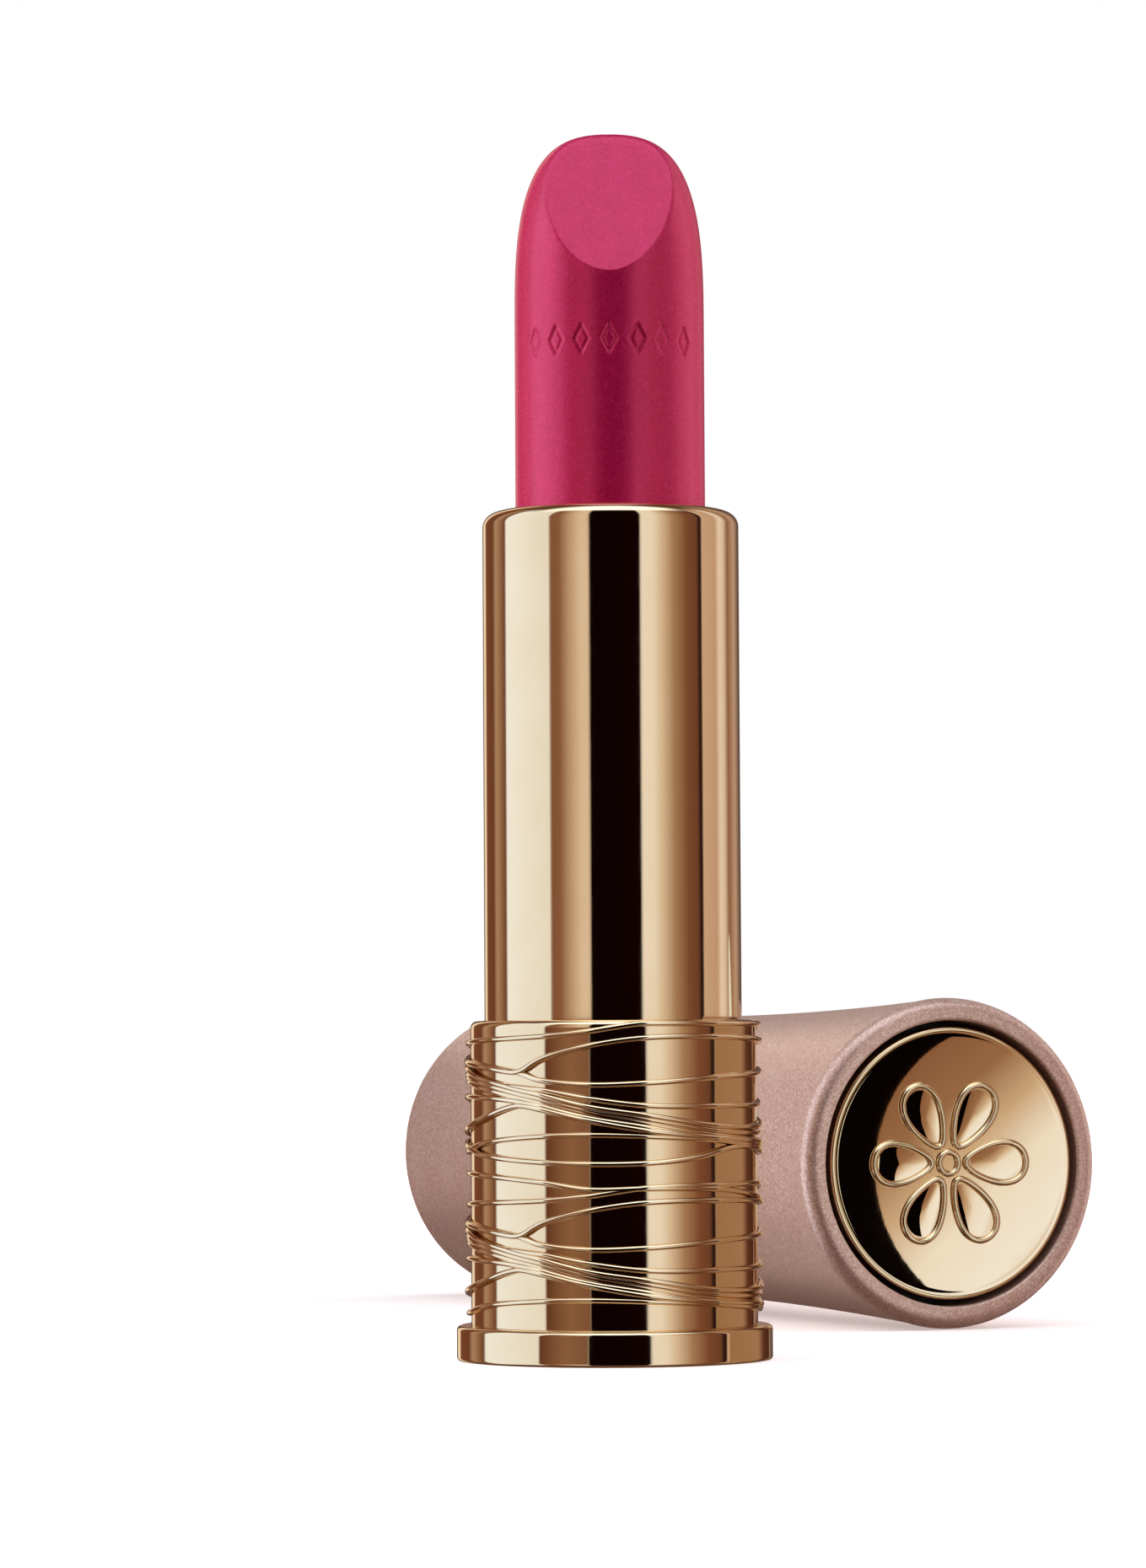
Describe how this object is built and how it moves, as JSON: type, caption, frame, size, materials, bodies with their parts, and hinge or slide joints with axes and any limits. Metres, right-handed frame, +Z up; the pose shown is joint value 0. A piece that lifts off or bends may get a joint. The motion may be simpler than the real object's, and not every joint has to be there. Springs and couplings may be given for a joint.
{
  "type": "lipstick case",
  "caption": "Swivel lipstick case with a gold tube and wire-wrapped collar, its slanted bullet raised, and a waisted push-release cap lying beside it.",
  "frame": {"origin": "centre of the base's foot, on the surface it stands on", "axes": "+Z up along the swivel axis; +Y along the lying cap's axis, from its closed end to its mouth"},
  "size_m": [0.0575, 0.1027, 0.0779],
  "materials": {
    "gold": "polished warm gold plating",
    "gold_wire": "polished raised wires, same plating",
    "rose_pearl": "satin rose-taupe pearl lacquer with fine metallic grain",
    "bullet_wax": "satin magenta-pink wax with fine shimmer",
    "black_plastic": "moulded, fine texture",
    "natural_plastic": "natural acetal, satin",
    "elastomer": "soft matte",
    "steel": "drawn wire and turned slug",
    "label_paper": "printed film label, blank"
  },
  "bodies": {
    "base": {"foot_ring": "gold", "base_collar": "gold", "thread_wrap": "gold_wire", "base_insert": "black_plastic", "base_weight": "steel", "shade_label": "label_paper", "guide_fork": "natural_plastic", "drag_ring": "elastomer"},
    "tube": {"tube_shell": "gold", "spiral_sleeve": "natural_plastic"},
    "carrier": {"bullet_cup": "natural_plastic", "lipstick_bullet": "bullet_wax"},
    "cap": {"cap_shell": "rose_pearl", "cap_liner": "black_plastic", "grip_ring": "elastomer", "button_guide": "black_plastic"},
    "button": {"button_disc": "gold", "button_emblem": "gold", "button_plunger": "black_plastic", "retaining_clip": "steel", "return_spring": "steel"}
  },
  "joints": [
    {"name": "tube_twist", "type": "hinge", "parent": "base", "child": "tube", "pos_m": [0, 0, 0.03], "axis": [0, 0, 1], "range_deg": [-630, 0]},
    {"name": "bullet_lift", "type": "slide", "parent": "base", "child": "carrier", "axis": [0, 0, 1], "range_m": [-0.026, 0]},
    {"name": "cap_lift", "type": "slide", "parent": "base", "child": "cap", "axis": [0, 0, 1], "range_m": [0, 0.1]},
    {"name": "button_press", "type": "slide", "parent": "cap", "child": "button", "axis": [0, 1, 0], "range_m": [0, 0.0015], "stiffness_N_per_m": 400, "springref_m": -0.001, "deforming": ["return_spring"]}
  ],
  "couplings": [
    {"joint": "tube_twist", "follows": "bullet_lift", "rad_per_m": 422.9}
  ]
}
